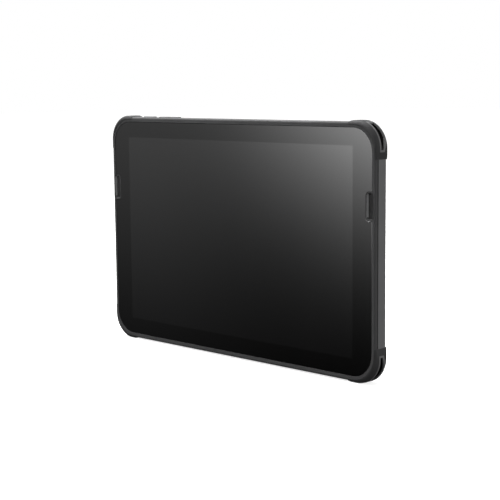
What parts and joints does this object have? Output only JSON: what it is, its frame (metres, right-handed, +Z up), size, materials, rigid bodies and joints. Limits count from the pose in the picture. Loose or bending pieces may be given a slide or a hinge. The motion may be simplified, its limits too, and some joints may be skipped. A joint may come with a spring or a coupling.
{
  "type": "data collector",
  "caption": "Rugged landscape tablet-style data collector with a glass-covered screen, rubber corner bumpers, top keys and a removable rear battery pack.",
  "frame": {"origin": "below the middle of the tablet, on the plane that its two lower bumpers stand on, halfway through its thickness", "axes": "+X to the user's right, +Y from the screen to the back, +Z up"},
  "size_m": [0.257, 0.0142, 0.1673],
  "materials": {
    "bumper_rubber": "soft moulded rubber, fine matt grain",
    "glass_black": "gloss toughened glass with a black printed border",
    "case_dark": "matt moulded plastic with a fine grain",
    "case_grey": "matt textured plastic",
    "seal_rubber": "matt rubber",
    "key_plastic": "matt moulded plastic",
    "pack_plastic": "matt textured plastic",
    "mesh_metal": "black woven metal mesh",
    "black_plastic": "matt plastic",
    "screen": "switched-off liquid crystal panel",
    "tray_metal": "stamped steel",
    "frame_metal": "die-cast, satin",
    "board_green": "solder mask",
    "chip_black": "moulded epoxy",
    "copper": "copper foil",
    "ceramic": "fired ceramic",
    "steel": "black-passivated steel",
    "brass": "turned brass",
    "gold": "gold-plated contacts",
    "lens_glass": "dark coated glass",
    "lens_clear": "frosted clear lens",
    "led_yellow": "yellow phosphor"
  },
  "bodies": {
    "case": {"bumper_top_left": "bumper_rubber", "bumper_top_right": "bumper_rubber", "bumper_bottom_left": "bumper_rubber", "bumper_bottom_right": "bumper_rubber", "cover_glass": "glass_black", "front_bezel": "case_dark", "speaker_port_left": "case_dark", "speaker_port_right": "case_dark", "rear_housing": "case_grey", "slot_rim_top_left": "case_grey", "slot_rim_top_right": "case_grey", "slot_rim_bottom_left": "case_grey", "slot_rim_bottom_right": "case_grey", "case_seal": "seal_rubber", "glass_gasket": "seal_rubber", "speaker_gasket_left": "seal_rubber", "speaker_gasket_right": "seal_rubber", "speaker_mesh_left": "mesh_metal", "speaker_mesh_right": "mesh_metal", "speaker_left": "black_plastic", "speaker_right": "black_plastic", "battery_connector": "black_plastic", "card_socket": "black_plastic", "dock_block": "black_plastic", "rear_camera": "black_plastic", "key_switches": "black_plastic", "display_foam": "black_plastic", "display_panel": "screen", "backlight_tray": "tray_metal", "shield_cans": "tray_metal", "usb_socket": "tray_metal", "vibration_motor": "tray_metal", "microphones": "tray_metal", "mid_frame": "frame_metal", "main_board": "board_green", "key_board": "board_green", "port_board": "board_green", "processor": "chip_black", "memory_chips": "chip_black", "heat_spreader": "copper", "display_flex": "copper", "wifi_antenna": "copper", "cellular_antenna": "copper", "gnss_antenna": "ceramic", "case_screws": "steel", "board_screws": "steel", "door_pin": "steel", "strap_inserts": "brass", "dock_contacts": "gold", "camera_window": "lens_glass", "flash_lens": "lens_clear", "flash_led": "led_yellow"},
    "battery_pack": {"battery_pack": "pack_plastic", "battery_contacts": "gold", "battery_seal": "seal_rubber"},
    "battery_latch": {"battery_latch": "key_plastic"},
    "power_button": {"power_button": "key_plastic"},
    "volume_rocker": {"volume_rocker": "key_plastic"},
    "port_door": {"port_door": "seal_rubber"},
    "card_tray": {"card_tray": "key_plastic"}
  },
  "joints": [
    {"name": "power_press", "type": "slide", "parent": "case", "child": "power_button", "axis": [0, 0, -1], "range_m": [0, 0.00035], "stiffness_N_per_m": 900},
    {"name": "volume_rock", "type": "hinge", "parent": "case", "child": "volume_rocker", "pos_m": [-0.0689, -0.0006, 0.16135], "axis": [0, 1, 0], "range_deg": [-1.2, 1.2], "stiffness_Nm_per_rad": 0.05},
    {"name": "battery_lift", "type": "slide", "parent": "case", "child": "battery_pack", "axis": [0, 1, 0], "range_m": [0, 0.02]},
    {"name": "latch_slide", "type": "slide", "parent": "case", "child": "battery_latch", "axis": [1, 0, 0], "range_m": [0, 0.011]},
    {"name": "door_hinge", "type": "hinge", "parent": "case", "child": "port_door", "pos_m": [-0.12655, -0.00055, 0.07075], "axis": [0, -1, 0], "range_deg": [0, 90]},
    {"name": "card_slide", "type": "slide", "parent": "case", "child": "card_tray", "axis": [-1, 0, 0], "range_m": [0, 0.02]}
  ]
}
